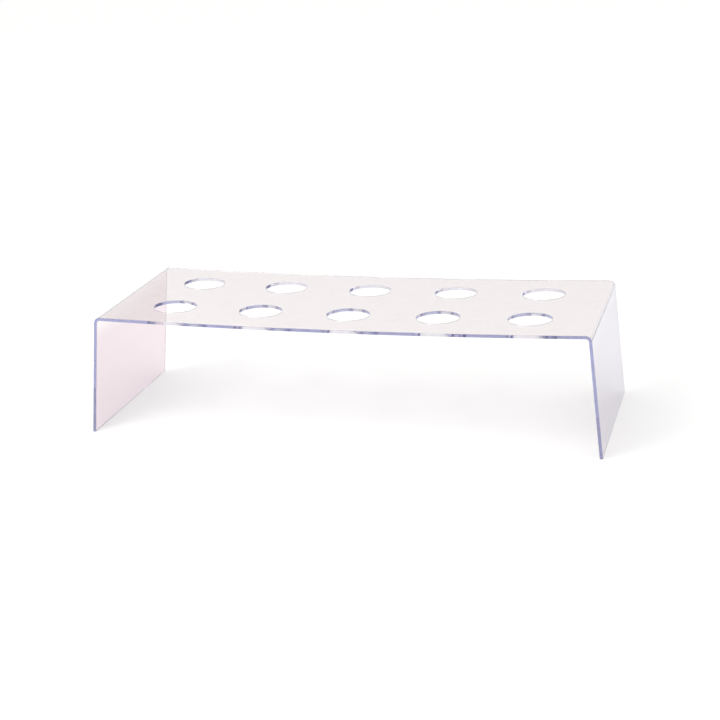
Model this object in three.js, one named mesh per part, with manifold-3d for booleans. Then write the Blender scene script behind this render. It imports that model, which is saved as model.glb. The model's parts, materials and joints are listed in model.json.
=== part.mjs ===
// A clear rack with two rows of round holes, bent from one plastic sheet into a low table with two legs.
//
// The maker cuts the blank, drills the holes, and bends the sheet twice along a hot wire. The legs splay a
// little, and the deck hangs a few millimetres in the middle under its own weight. Nothing is glued or
// screwed on, so the rack is one solid.
//
// Millimetres, +Z up. X runs along the rack and Y from the front edge (-Y) to the rear edge (+Y). The origin
// is on the floor under the middle of the deck.

import * as THREE from 'three';
import { mergeVertices } from 'three/addons/utils/BufferGeometryUtils.js';
import Module from 'manifold-3d';

// Driving dimensions
const deckLength = 490; // between the outer corners of the two bends, measured as if they were sharp
const depth = 200; // front edge to rear edge
const height = 120; // floor to the outer corners of the bends
const sheet = 3; // thickness of the sheet
const bendInnerRadius = 3;
const legSplay = THREE.MathUtils.degToRad( 5.4 ); // each leg, outwards from upright
const deckSag = 3.5; // how far the middle of the deck hangs below its ends
const holeDiameter = 43;
const holesAlong = 5;
const holesAcross = 2;
const endMargin = 65; // outer corner of a bend to the centres of the nearest holes
const edgeMargin = 55; // front or rear edge to the centres of the nearest holes

// How finely the round stretches are cut into flats
const deckFlats = 21; // an odd number, so that one flat lies level in the middle
const bendFlats = 10;
const holeFlats = 48;

// Places that follow from the driving dimensions. The deck is a long shallow arc round a centre far above it,
// and each bend is an arc that meets the deck and the leg along their tangents.
const bendOuterRadius = bendInnerRadius + sheet;
const deckEndSlope = 2 * Math.atan( deckSag / ( deckLength / 2 - bendOuterRadius ) );
const bendTurn = Math.PI / 2 + deckEndSlope - legSplay;
const cornerToBend = bendOuterRadius * Math.tan( bendTurn / 2 );
const deckEndX = deckLength / 2 - cornerToBend * Math.cos( deckEndSlope );
const deckEndZ = height - cornerToBend * Math.sin( deckEndSlope );
const deckRadius = deckEndX / Math.sin( deckEndSlope ); // of the top face
const deckCentreZ = deckEndZ + deckRadius * Math.cos( deckEndSlope );
const bendCentreX = deckEndX + bendOuterRadius * Math.sin( deckEndSlope );
const bendCentreZ = deckEndZ - bendOuterRadius * Math.cos( deckEndSlope );
const footOuterX = deckLength / 2 + height * Math.tan( legSplay );
const footInnerX = footOuterX - sheet / Math.cos( legSplay );

// The holes are spread evenly between their margins, which puts them 90 mm apart both ways.
const pitchAlong = ( deckLength - 2 * endMargin ) / ( holesAlong - 1 );
const pitchAcross = ( depth - 2 * edgeMargin ) / ( holesAcross - 1 );

// Points along an arc in the side view, from one angle to another, both ends included.
function arc( centre, radius, from, to, flats ) {

	const points = [];
	for ( let i = 0; i <= flats; i ++ ) {

		const angle = THREE.MathUtils.lerp( from, to, i / flats );
		const point = new THREE.Vector2( Math.cos( angle ), Math.sin( angle ) );
		points.push( point.multiplyScalar( radius ).add( centre ) );

	}

	return points;

}

// One face of the sheet in the side view, from the left foot over the deck to the right foot.
function sheetFace( footX, bendRadius, hangRadius ) {

	const leftCentre = new THREE.Vector2( - bendCentreX, bendCentreZ );
	const rightCentre = new THREE.Vector2( bendCentreX, bendCentreZ );
	const deckCentre = new THREE.Vector2( 0, deckCentreZ );
	const down = - Math.PI / 2;
	const deckSide = Math.PI / 2 + deckEndSlope; // where the right bend meets the deck
	const deck = arc( deckCentre, hangRadius, down - deckEndSlope, down + deckEndSlope, deckFlats );
	return [
		new THREE.Vector2( - footX, 0 ),
		...arc( leftCentre, bendRadius, Math.PI - legSplay, Math.PI - deckSide, bendFlats ),
		...deck.slice( 1, - 1 ), // its ends are the ends of the bends
		...arc( rightCentre, bendRadius, deckSide, legSplay, bendFlats ),
		new THREE.Vector2( footX, 0 ),
	];

}

// The bent sheet before drilling: the side view drawn upright and stretched from the front to the rear edge.
function bentSheet() {

	const outerFace = sheetFace( footOuterX, bendOuterRadius, deckRadius );
	const innerFace = sheetFace( footInnerX, bendInnerRadius, deckRadius + sheet );
	const sideView = new THREE.Shape( [ ...outerFace, ...innerFace.reverse() ] );
	const geometry = new THREE.ExtrudeGeometry( sideView, { depth, bevelEnabled: false } );
	geometry.rotateX( Math.PI / 2 );
	geometry.translate( 0, depth / 2, 0 );
	return geometry;

}

// A drill for one hole, square to the deck where it stands. along and across are measured on the sheet
// from the middle of the deck.
function drill( along, across ) {

	const drillLength = 6 * sheet;
	const geometry = new THREE.CylinderGeometry( holeDiameter / 2, holeDiameter / 2, drillLength, holeFlats );
	geometry.rotateX( Math.PI / 2 );
	geometry.translate( 0, across, - deckRadius - sheet / 2 );
	geometry.rotateY( - along / deckRadius );
	geometry.translate( 0, 0, deckCentreZ );
	return geometry;

}

const wasm = await Module();
wasm.setup();

function toSolid( geometry ) {

	geometry.deleteAttribute( 'normal' );
	geometry.deleteAttribute( 'uv' );
	const merged = mergeVertices( geometry );
	const vertProperties = merged.attributes.position.array;
	const triVerts = new Uint32Array( merged.index.array );
	return new wasm.Manifold( new wasm.Mesh( { numProp: 3, vertProperties, triVerts } ) );

}

function toGeometry( solid ) {

	const { vertProperties, triVerts } = solid.getMesh();
	const geometry = new THREE.BufferGeometry();
	geometry.setAttribute( 'position', new THREE.BufferAttribute( vertProperties, 3 ) );
	geometry.setIndex( new THREE.BufferAttribute( triVerts, 1 ) );
	geometry.computeVertexNormals();
	return geometry;

}

function drilledSheet() {

	let solid = toSolid( bentSheet() );
	for ( let column = 0; column < holesAlong; column ++ ) {

		for ( let row = 0; row < holesAcross; row ++ ) {

			const along = ( column - ( holesAlong - 1 ) / 2 ) * pitchAlong;
			const across = ( row - ( holesAcross - 1 ) / 2 ) * pitchAcross;
			solid = solid.subtract( toSolid( drill( along, across ) ) );

		}

	}

	return toGeometry( solid );

}

// Clear plastic, faintly pink through the face and violet where it is seen edge on
const clearPlastic = new THREE.MeshStandardMaterial( {
	color: '#efe9ee',
	roughness: 0.06,
	metalness: 0,
	transparent: true,
	opacity: 0.35,
	flatShading: true,
} );

const rackSheet = new THREE.Mesh( drilledSheet(), clearPlastic );
rackSheet.name = 'rack_sheet';

const rack = new THREE.Group();
rack.add( rackSheet );

export default rack;
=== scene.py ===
"""A clear rack with two rows of round holes, bent from one sheet of polycarbonate.

The sheet is laid out flat as the maker would mark it out, with its holes and its softened edges, and is then
bent over its two bend lines into the deck and the legs. Lengths are in metres unless a name ends in _MM.
"""

import json
import math

import bmesh
import bpy
from mathutils import Matrix, Vector


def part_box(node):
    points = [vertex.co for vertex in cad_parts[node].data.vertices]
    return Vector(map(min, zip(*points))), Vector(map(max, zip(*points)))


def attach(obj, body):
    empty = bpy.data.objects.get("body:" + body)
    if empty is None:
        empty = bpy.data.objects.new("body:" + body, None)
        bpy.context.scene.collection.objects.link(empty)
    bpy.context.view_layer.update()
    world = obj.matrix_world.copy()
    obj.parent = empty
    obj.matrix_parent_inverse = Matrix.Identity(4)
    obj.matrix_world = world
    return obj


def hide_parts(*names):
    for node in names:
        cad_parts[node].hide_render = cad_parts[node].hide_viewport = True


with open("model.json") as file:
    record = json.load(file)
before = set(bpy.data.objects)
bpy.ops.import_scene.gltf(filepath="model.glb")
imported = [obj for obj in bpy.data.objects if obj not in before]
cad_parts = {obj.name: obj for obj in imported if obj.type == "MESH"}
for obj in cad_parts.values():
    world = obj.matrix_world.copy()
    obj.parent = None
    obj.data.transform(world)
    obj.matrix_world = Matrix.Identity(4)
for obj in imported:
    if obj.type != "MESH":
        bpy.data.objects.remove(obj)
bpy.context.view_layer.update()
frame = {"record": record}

MM = 0.001
RACK_NODE = "rack_sheet"

# The sheet and how it is worked
SHEET = 3 * MM
BEND_INNER_RADIUS = 3 * MM
LEG_SPLAY = math.radians(5.4)
HOLE_RADIUS = 21.5 * MM
ARRIS = 0.18 * MM  # the softened corner along every cut edge
BEND_PINCH = 0.2 * MM  # how far the stretched outside of a bend draws in at its two ends
PINCH_POWER = 5  # an odd number, and the higher, the closer the pinch keeps to the two ends

# How finely the sheet is divided
HOLE_SIDES = 128
HOLE_RINGS = 7
RING_CROWDING = 0.8  # below 1, the rings lie closer together near the hole
ARRIS_STEPS = 3
BEND_STEPS = 16
LEG_STEPS = 12
END_STEPS = 5  # between the last holes and a bend
MARGIN_STEPS = 3  # between a row of holes and the edge
SUPPORT = 0.4 * MM  # a narrow band beside each softened corner, which keeps the flat faces flat
SAME_PLACE = 0.001 * MM  # vertices closer than this are one


# ---------------------------------------------------------------- small helpers

def colour(hex_code):
    """An sRGB hex colour as linear red, green, blue and alpha."""
    parts = [int(hex_code[i:i + 2], 16) / 255 for i in (1, 3, 5)]
    return [c / 12.92 if c <= 0.04045 else ((c + 0.055) / 1.055) ** 2.4 for c in parts] + [1.0]


def add_node(tree, kind, inputs=None, **settings):
    """A node with its settings, and its inputs set to values or linked to sockets."""
    node = tree.nodes.new(kind)
    for name, value in settings.items():
        setattr(node, name, value)
    for name, value in (inputs or {}).items():
        if isinstance(value, bpy.types.NodeSocket):
            tree.links.new(value, node.inputs[name])
        else:
            node.inputs[name].default_value = value
    return node


def spread(start, end, steps):
    """Evenly spaced values from start to end, both included."""
    return [start + (end - start) * i / steps for i in range(steps + 1)]


# ---------------------------------------------------------------- the shape of the bent sheet

class BentSheet:
    """Turns a place on the flat sheet into a place on the bent one.

    along is measured from the middle of the deck over the bend to the foot, across from front to rear, and
    above from the middle of the sheet's thickness towards its outer face. The deck is a shallow arc, because
    it hangs a little, and each bend is an arc that meets it and the straight leg without a kink.
    """

    def __init__(self):
        low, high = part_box(RACK_NODE)
        mounts = {m["name"]: m for m in frame["record"]["mounts"]}
        deck_middle = mounts["deck_top"]["pos_m"][2]
        outer = BEND_INNER_RADIUS + SHEET
        self.half_depth = (high.y - low.y) / 2
        self.bend_z = high.z - outer
        self.bend_x = high.x - self.bend_z * math.tan(LEG_SPLAY) - outer / math.cos(LEG_SPLAY)
        rise = deck_middle - self.bend_z
        self.hang_radius = (self.bend_x ** 2 + rise ** 2 - outer ** 2) / (2 * (outer - rise))
        self.hang_z = deck_middle + self.hang_radius
        self.end_slope = math.asin(self.bend_x / (self.hang_radius + outer))
        self.turn = math.pi / 2 + self.end_slope - LEG_SPLAY
        self.deck_half = self.end_slope * (self.hang_radius + SHEET / 2)
        self.bend_length = self.turn * (BEND_INNER_RADIUS + SHEET / 2)
        to_corner = self.bend_z + BEND_INNER_RADIUS * math.sin(LEG_SPLAY)
        rounded_off = ARRIS * (math.sin(LEG_SPLAY) + math.cos(LEG_SPLAY) - 1)
        leg = (to_corner + rounded_off) / math.cos(LEG_SPLAY)  # its softened inner corner touches the floor
        self.leg_end = self.deck_half + self.bend_length + leg

    def place(self, along, across, above):
        """Where a point of the flat sheet comes to lie when it is bent."""
        side = math.copysign(1.0, along)
        reach = abs(along)
        past_deck = reach - self.deck_half
        if past_deck <= 0:
            radius = self.hang_radius + SHEET / 2 - above
            angle = reach / (self.hang_radius + SHEET / 2)
            return Vector((side * radius * math.sin(angle), across, self.hang_z - radius * math.cos(angle)))
        share = min(past_deck / self.bend_length, 1.0)
        angle = math.pi / 2 + self.end_slope - share * self.turn
        radius = BEND_INNER_RADIUS + SHEET / 2 + above
        down = max(past_deck - self.bend_length, 0.0)
        x = self.bend_x + radius * math.cos(angle) + down * math.sin(LEG_SPLAY)
        z = self.bend_z + radius * math.sin(angle) - down * math.cos(LEG_SPLAY)
        stretched = math.sin(math.pi * share) * (0.5 + above / SHEET)
        pinch = BEND_PINCH * stretched * (across / self.half_depth) ** PINCH_POWER
        return Vector((side * x, across - pinch, z))


def hole_centres():
    """The holes' centres, as the frame's record states the spaces through them."""
    boxes = [o["box_m"] for o in frame["record"]["physics"]["openings"] if o["name"].endswith("_square")]
    return [((low[0] + high[0]) / 2, (low[1] + high[1]) / 2) for low, high in boxes]


def edge_profile():
    """How a cut edge runs from the outer face to the inner one: (how far in from the edge, how high above
    the middle of the sheet). Both corners are rounded by the arris."""
    top = []
    for angle in spread(math.pi / 2, 0, ARRIS_STEPS):
        top.append((ARRIS * (1 - math.cos(angle)), SHEET / 2 - ARRIS * (1 - math.sin(angle))))
    return top + [(inset, -above) for inset, above in reversed(top)]


def lattice(centres, half_pitch, sheet):
    """The along and across lines of the sheet's grid. Round each hole they follow the sides of its square."""
    per_side = HOLE_SIDES // 4
    columns = sorted({c[0] for c in centres})
    rows = sorted({c[1] for c in centres})
    along = []
    for centre in columns:
        along += spread(centre - half_pitch, centre + half_pitch, per_side)[:-1]
    last = columns[-1] + half_pitch
    bend_start = sheet.deck_half
    bend_end = bend_start + sheet.bend_length
    foot = sheet.leg_end - ARRIS
    outer = [*spread(last, bend_start, END_STEPS)[:-1], *spread(bend_start, bend_end, BEND_STEPS)[:-1]]
    outer += [*spread(bend_end, foot - SUPPORT, LEG_STEPS), foot]
    along = [-u for u in reversed(outer)] + along[1:] + outer
    across = []
    for centre in rows:
        across += spread(centre - half_pitch, centre + half_pitch, per_side)[:-1]
    edge = sheet.half_depth - ARRIS
    outer = [*spread(rows[-1] + half_pitch, edge - SUPPORT, MARGIN_STEPS), edge]
    across = [-v for v in reversed(outer)] + across[1:] + outer
    return along, across


def square_point(centre, half, step):
    """A point on the square round a hole, counted round from its front left corner."""
    side, k = divmod(step, HOLE_SIDES // 4)
    t = -half + 2 * half * k / (HOLE_SIDES // 4)
    x, y = [(t, -half), (half, t), (-t, half), (-half, -t)][side % 4]
    return centre[0] + x, centre[1] + y


def round_angles():
    """All round a hole, from the direction of its square's front left corner back to it."""
    return spread(-3 * math.pi / 4, 5 * math.pi / 4, HOLE_SIDES)


class SheetMesh:
    """The bent sheet's mesh as it is built up. Its attribute cut is 1 on the cut edges, and run is the
    distance along the cut."""

    def __init__(self):
        self.sheet = BentSheet()
        self.mesh = bmesh.new()
        self.cut = self.mesh.verts.layers.float.new("cut")
        self.run = self.mesh.verts.layers.float.new("run")

    def vert(self, along, across, above, on_cut=0.0, distance=0.0):
        """A new vertex, given by its place on the flat sheet and put where it comes to lie."""
        new = self.mesh.verts.new(self.sheet.place(along, across, above))
        new[self.cut] = on_cut
        new[self.run] = distance
        return new

    def skin(self, rows):
        """Faces between each row of vertices and the next."""
        for a, b in zip(rows, rows[1:]):
            for k in range(len(a) - 1):
                self.mesh.faces.new((a[k], a[k + 1], b[k + 1], b[k]))


def add_faces(made, along, across, centres, half_pitch):
    """Both faces of the sheet, apart from the squares round the holes."""
    for above in (SHEET / 2, -SHEET / 2):
        grid = [[made.vert(u, v, above) for v in across] for u in along]
        for i in range(len(along) - 1):
            for k in range(len(across) - 1):
                u = (along[i] + along[i + 1]) / 2
                v = (across[k] + across[k + 1]) / 2
                if not any(abs(u - c[0]) < half_pitch and abs(v - c[1]) < half_pitch for c in centres):
                    made.mesh.faces.new((grid[i][k], grid[i + 1][k], grid[i + 1][k + 1], grid[i][k + 1]))


def add_hole_surround(made, centre, half_pitch):
    """The square round a hole on both faces, in rings that end in a narrow band beside the softened rim."""
    rings = [((ring / (HOLE_RINGS - 1)) ** RING_CROWDING, HOLE_RADIUS + ARRIS + SUPPORT)
             for ring in range(HOLE_RINGS)]
    rings.append((1.0, HOLE_RADIUS + ARRIS))
    for above in (SHEET / 2, -SHEET / 2):
        loops = []
        for share, radius in rings:
            loop = []
            for step, angle in enumerate(round_angles()):
                x, y = square_point(centre, half_pitch, step)
                u = x * (1 - share) + (centre[0] + radius * math.cos(angle)) * share
                v = y * (1 - share) + (centre[1] + radius * math.sin(angle)) * share
                loop.append(made.vert(u, v, above))
            loops.append(loop)
        made.skin(loops)


def add_hole_wall(made, centre):
    """The cut wall of a hole, with its softened corners."""
    wall = []
    for inset, above in edge_profile():
        on_cut = 0.0 if inset >= ARRIS else 1.0
        radius = HOLE_RADIUS + inset
        wall.append([made.vert(centre[0] + radius * math.cos(angle), centre[1] + radius * math.sin(angle),
                               above, on_cut, HOLE_RADIUS * angle) for angle in round_angles()])
    made.skin(wall)


def add_outside_edge(made, along, across):
    """The sheet's outside edge, all the way round, with its softened corners."""
    corners = [(u, across[0]) for u in along[:-1]] + [(along[-1], v) for v in across[:-1]]
    corners += [(u, across[-1]) for u in reversed(along[1:])] + [(along[0], v) for v in reversed(across)]
    wall = []
    for inset, above in edge_profile():
        on_cut = 0.0 if inset >= ARRIS else 1.0
        out = ARRIS - inset
        loop = []
        distance = 0.0
        last = corners[0]
        for u, v in corners:
            distance += abs(u - last[0]) + abs(v - last[1])
            last = (u, v)
            u_out = u + math.copysign(out, u) if abs(u) == along[-1] else u
            v_out = v + math.copysign(out, v) if abs(v) == across[-1] else v
            loop.append(made.vert(u_out, v_out, above, on_cut, distance))
        wall.append(loop)
    made.skin(wall)


def bent_sheet():
    """The whole sheet as one closed piece."""
    made = SheetMesh()
    centres = hole_centres()
    half_pitch = min(abs(a[0] - b[0]) for a in centres for b in centres if a[0] != b[0]) / 2
    along, across = lattice(centres, half_pitch, made.sheet)
    add_faces(made, along, across, centres, half_pitch)
    for centre in centres:
        add_hole_surround(made, centre, half_pitch)
        add_hole_wall(made, centre)
    add_outside_edge(made, along, across)
    mesh = made.mesh
    bmesh.ops.delete(mesh, geom=[v for v in mesh.verts if not v.link_faces], context="VERTS")
    bmesh.ops.remove_doubles(mesh, verts=mesh.verts, dist=SAME_PLACE)
    bmesh.ops.recalc_face_normals(mesh, faces=mesh.faces)
    for face in mesh.faces:
        face.smooth = True
    data = bpy.data.meshes.new("bent_sheet")
    mesh.to_mesh(data)
    mesh.free()
    piece = bpy.data.objects.new("bent_sheet", data)
    bpy.context.scene.collection.objects.link(piece)
    return piece


# ---------------------------------------------------------------- the plastic

DECK_TONE = "#f4eeed"  # what the deck does to white light that goes through it
LEG_PAINTED_SHADE = "#e8dadf"  # painted shade: the legs are made pinker and darker than the deck, though the sheet is one, for how they look seen on the slant
LEG_SHADE_STARTS = 118 * MM  # the height where the deck's tone begins to give way to the legs' painted shade
LEG_SHADE_FULL = 92 * MM
GRAZING_PAINTED_SHADE = "#b2b9cb"  # painted shade: faces seen at a grazing angle are turned bluish grey and darker
GRAZING_STARTS = 0.76  # as a slant: 0 is face on and 1 is edge on
GRAZING_FULL = 0.9
CUT_TONE = "#ece8e7"  # the cut edges, slightly grey
LONG_RUN_TONE = "#004bd1"  # what is left of white light after a long way inside
LONG_RUN_DENSITY = 4.1  # per metre
POLYCARBONATE_IOR = 1.586
EVEN_BLEND = 0.5  # with it the slant is 1 less the cosine of the angle from face on

CLEAN_ROUGHNESS = 0.015
SMEARED_ROUGHNESS = 0.045
SCRATCHED_ROUGHNESS = 0.22
CUT_ROUGHNESS = 0.06
SMEAR = 45 * MM  # across one smear of handling
SMEAR_STARTS = 0.45  # of the way from the cleanest place to the most handled
SMEAR_FULL = 0.75
SMEAR_DETAIL = 4.0  # finer patches within a smear
SCRATCH_LENGTH = 30 * MM
SCRATCH_WIDTH = 0.6 * MM  # real ones are a few hundredths of that, too fine to show
SCRATCH_TURN = math.radians(29)  # from the length of the rack
SCRATCH_STARTS = 0.74  # the streak pattern's top is a scratch
SCRATCH_FULL = 0.8
PLAIN = 0.0  # no finer pattern within a scratch
RIPPLE = 14 * MM  # from crest to crest of the sheet's faint waviness
RIPPLE_HEIGHT = 0.03 * MM  # from trough to crest at most
RIPPLE_DETAIL = 1.0  # little finer pattern within a ripple
SAW_MARK = 3 * MM  # from one mark of the saw to the next along a cut edge, drawn coarse
SAW_MARK_DEPTH = 0.002 * MM


def plastic_tint_and_painted_shade(tree, place, cut):
    """What the plastic does to the light: almost colourless on the deck and slightly grey on the cut edges.
    Painted shade makes the legs pinker and the faces seen at a grazing angle bluish grey."""
    height = add_node(tree, "ShaderNodeSeparateXYZ", {"Vector": place}).outputs["Z"]
    # painted shade: the legs' pinker, darker tone fades in downwards from the bend
    painted_leg_shade = add_node(tree, "ShaderNodeMapRange", {
        "Value": height,
        "From Min": LEG_SHADE_STARTS,
        "From Max": LEG_SHADE_FULL,
    }, interpolation_type="SMOOTHSTEP").outputs[0]
    # painted shade: bluish grey on the faces that are seen at a grazing angle, following the view
    slant = add_node(tree, "ShaderNodeLayerWeight", {"Blend": EVEN_BLEND}).outputs["Facing"]
    grazing = add_node(tree, "ShaderNodeMapRange", {
        "Value": slant,
        "From Min": GRAZING_STARTS,
        "From Max": GRAZING_FULL,
    }).outputs[0]
    tone = colour(DECK_TONE)
    for share, other in ((painted_leg_shade, LEG_PAINTED_SHADE), (grazing, GRAZING_PAINTED_SHADE), (cut, CUT_TONE)):
        tone = add_node(tree, "ShaderNodeMix", {"Factor": share, "A": tone, "B": colour(other)},
                        data_type="RGBA").outputs[2]
    return tone


def plastic_roughness(tree, place, cut):
    """Glossy faces with faint smears from handling and a few fine scratches, and duller cut edges."""
    patches = add_node(tree, "ShaderNodeTexNoise", {"Vector": place, "Scale": 1 / SMEAR,
                                                    "Detail": SMEAR_DETAIL})
    rough = add_node(tree, "ShaderNodeMapRange", {
        "Value": patches.outputs["Fac"],
        "From Min": SMEAR_STARTS,
        "From Max": SMEAR_FULL,
        "To Min": CLEAN_ROUGHNESS,
        "To Max": SMEARED_ROUGHNESS,
    }).outputs[0]
    drawn_out = add_node(tree, "ShaderNodeMapping", {
        "Vector": place,
        "Rotation": (0, 0, SCRATCH_TURN),
        "Scale": (SCRATCH_WIDTH / SCRATCH_LENGTH, 1, 1),
    }).outputs[0]
    streaks = add_node(tree, "ShaderNodeTexNoise", {"Vector": drawn_out, "Scale": 1 / SCRATCH_WIDTH,
                                                    "Detail": PLAIN})
    scratched = add_node(tree, "ShaderNodeMapRange", {
        "Value": streaks.outputs["Fac"],
        "From Min": SCRATCH_STARTS,
        "From Max": SCRATCH_FULL,
    }).outputs[0]
    for share, other in ((scratched, SCRATCHED_ROUGHNESS), (cut, CUT_ROUGHNESS)):
        rough = add_node(tree, "ShaderNodeMix", {"Factor": share, "A": rough, "B": other},
                         data_type="FLOAT").outputs[0]
    return rough


def plastic_relief(tree, place, cut, run):
    """The faint waviness of an extruded sheet, and the marks of the saw across its cut edges."""
    waves = add_node(tree, "ShaderNodeTexNoise", {"Vector": place, "Scale": 1 / RIPPLE,
                                                  "Detail": RIPPLE_DETAIL})
    wavy = add_node(tree, "ShaderNodeBump", {"Height": waves.outputs["Fac"],
                                             "Distance": RIPPLE_HEIGHT}).outputs[0]
    turns = add_node(tree, "ShaderNodeMath", {0: run, 1: 2 * math.pi / SAW_MARK},
                     operation="MULTIPLY").outputs[0]
    marks = add_node(tree, "ShaderNodeMath", {0: turns}, operation="SINE").outputs[0]
    return add_node(tree, "ShaderNodeBump", {
        "Height": marks,
        "Distance": SAW_MARK_DEPTH,
        "Strength": cut,
        "Normal": wavy,
    }).outputs[0]


def clear_polycarbonate():
    """Extruded polycarbonate sheet, cut, drilled and bent. It is glossy and glass clear with a faint pink
    cast, and light that has run the length of the sheet leaves its cut edges blue violet."""
    material = bpy.data.materials.new("clear_polycarbonate_extruded_sheet")
    material.use_nodes = True
    tree = material.node_tree
    tree.nodes.clear()
    cut = add_node(tree, "ShaderNodeAttribute", attribute_name="cut").outputs["Fac"]
    run = add_node(tree, "ShaderNodeAttribute", attribute_name="run").outputs["Fac"]
    place = add_node(tree, "ShaderNodeTexCoord").outputs["Object"]
    body = add_node(tree, "ShaderNodeBsdfPrincipled", {
        "Base Color": plastic_tint_and_painted_shade(tree, place, cut),
        "Roughness": plastic_roughness(tree, place, cut),
        "IOR": POLYCARBONATE_IOR,
        "Transmission Weight": 1.0,
        "Normal": plastic_relief(tree, place, cut, run),
    })
    inside = add_node(tree, "ShaderNodeVolumeAbsorption", {"Color": colour(LONG_RUN_TONE),
                                                           "Density": LONG_RUN_DENSITY})
    add_node(tree, "ShaderNodeOutputMaterial", {"Surface": body.outputs[0], "Volume": inside.outputs[0]})
    return material


# ---------------------------------------------------------------- floor, light and camera

FLOOR_REACH = 15.0  # from the middle to each side
AIR_GAP = 0.05 * MM  # between the cut ends of the legs and the paper
PAPER = "#b6b6b6"  # darker than real paper, because the light from below makes up the rest
PAPER_GLOW = 0.485  # the paper is lit from below too, which keeps shadows faint
PAPER_ROUGHNESS = 0.9

ROOM_WHITE = "#fffefd"
LOW_LIGHT = 0.85  # round the horizon
HIGH_LIGHT = 1.3  # overhead
BACKDROP_LIGHT = 1.05  # what the camera alone sees of the backdrop: plain white, as the paper is
LOW_LIGHT_ENDS = 0.45  # of the way from the horizon to overhead
HIGH_LIGHT_STARTS = 0.85

SOFTBOX_SIDE = 0.9
SOFTBOX_WATTS = 14
SOFTBOX_PLACE = Vector((-0.75, -0.85, 1.1))

CAMERA_AZIMUTH = math.radians(14.834)
CAMERA_ELEVATION = math.radians(17.471)
CAMERA_LEAN = math.radians(-2.126)
CAMERA_DISTANCE = 1.7374
CAMERA_TARGET = Vector((-1.7, 0, 55.2)) * MM
LENS_MM = 85.41
SENSOR_MM = 36.0
BOUNCES = 64  # enough for light to run the length of the sheet
FAR_END = 100.0  # how far the camera sees


def lit_paper():
    """Matt white paper that is lit from below as well, so that it stays plain white under a clear object."""
    material = bpy.data.materials.new("matt_white_paper_lit_from_below")
    material.use_nodes = True
    shader = material.node_tree.nodes["Principled BSDF"]
    shader.inputs["Base Color"].default_value = colour(PAPER)
    shader.inputs["Emission Color"].default_value = colour("#ffffff")
    shader.inputs["Emission Strength"].default_value = PAPER_GLOW
    shader.inputs["Roughness"].default_value = PAPER_ROUGHNESS
    shader.inputs["Specular IOR Level"].default_value = 0.0
    return material


def white_floor():
    """A plain sheet of paper, wide enough to fill every view."""
    data = bpy.data.meshes.new("floor")
    corners = [(x * FLOOR_REACH, y * FLOOR_REACH, -AIR_GAP) for x, y in ((-1, -1), (1, -1), (1, 1), (-1, 1))]
    data.from_pydata(corners, [], [(0, 1, 2, 3)])
    data.materials.append(lit_paper())
    floor = bpy.data.objects.new("floor", data)
    bpy.context.scene.collection.objects.link(floor)


def white_room():
    """A white room, bright overhead and dimmer low down all round. Only the camera sees it as plain white."""
    world = bpy.data.worlds.new("studio")
    bpy.context.scene.world = world
    world.use_nodes = True
    tree = world.node_tree
    way = add_node(tree, "ShaderNodeTexCoord").outputs["Generated"]
    height = add_node(tree, "ShaderNodeSeparateXYZ", {"Vector": way}).outputs["Z"]
    light = add_node(tree, "ShaderNodeMapRange", {
        "Value": height,
        "From Min": LOW_LIGHT_ENDS,
        "From Max": HIGH_LIGHT_STARTS,
        "To Min": LOW_LIGHT,
        "To Max": HIGH_LIGHT,
    }, interpolation_type="SMOOTHSTEP").outputs[0]
    seen = add_node(tree, "ShaderNodeLightPath").outputs["Is Camera Ray"]
    light = add_node(tree, "ShaderNodeMix", {"Factor": seen, "A": light, "B": BACKDROP_LIGHT},
                     data_type="FLOAT").outputs[0]
    background = tree.nodes["Background"]
    background.inputs["Color"].default_value = colour(ROOM_WHITE)
    tree.links.new(light, background.inputs["Strength"])


def softbox():
    """One large soft lamp at the front left, aimed at the middle of the floor."""
    lamp = bpy.data.lights.new("softbox", "AREA")
    lamp.shape = "SQUARE"
    lamp.size = SOFTBOX_SIDE
    lamp.energy = SOFTBOX_WATTS
    made = bpy.data.objects.new("softbox", lamp)
    aim = SOFTBOX_PLACE.to_track_quat("Z", "Y").to_matrix().to_4x4()
    made.matrix_world = Matrix.Translation(SOFTBOX_PLACE) @ aim
    bpy.context.scene.collection.objects.link(made)


def camera():
    """Stands in front and a little to the right, looks down on the deck, and leans slightly to its right."""
    ahead = Vector((-math.sin(CAMERA_AZIMUTH), math.cos(CAMERA_AZIMUTH), 0))
    forward = ahead * math.cos(CAMERA_ELEVATION) - Vector((0, 0, math.sin(CAMERA_ELEVATION)))
    level = forward.cross(Vector((0, 0, 1))).normalized()
    upright = level.cross(forward)
    right = math.cos(CAMERA_LEAN) * level + math.sin(CAMERA_LEAN) * upright
    up = math.cos(CAMERA_LEAN) * upright - math.sin(CAMERA_LEAN) * level
    data = bpy.data.cameras.new("camera")
    data.lens = LENS_MM
    data.sensor_width = SENSOR_MM
    data.clip_end = FAR_END
    made = bpy.data.objects.new("camera", data)
    turn = Matrix((right, up, -forward)).transposed().to_4x4()
    made.matrix_world = Matrix.Translation(CAMERA_TARGET - forward * CAMERA_DISTANCE) @ turn
    bpy.context.scene.collection.objects.link(made)
    bpy.context.scene.camera = made


def light_paths():
    """Colours shown as they are, and many bounces inside the sheet."""
    scene = bpy.context.scene
    scene.view_settings.view_transform = "Standard"
    scene.cycles.max_bounces = BOUNCES
    scene.cycles.transmission_bounces = BOUNCES
    scene.cycles.glossy_bounces = BOUNCES


rack = bent_sheet()
rack.data.materials.append(clear_polycarbonate())
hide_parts(RACK_NODE)
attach(rack, "root")
white_floor()
white_room()
softbox()
camera()
light_paths()
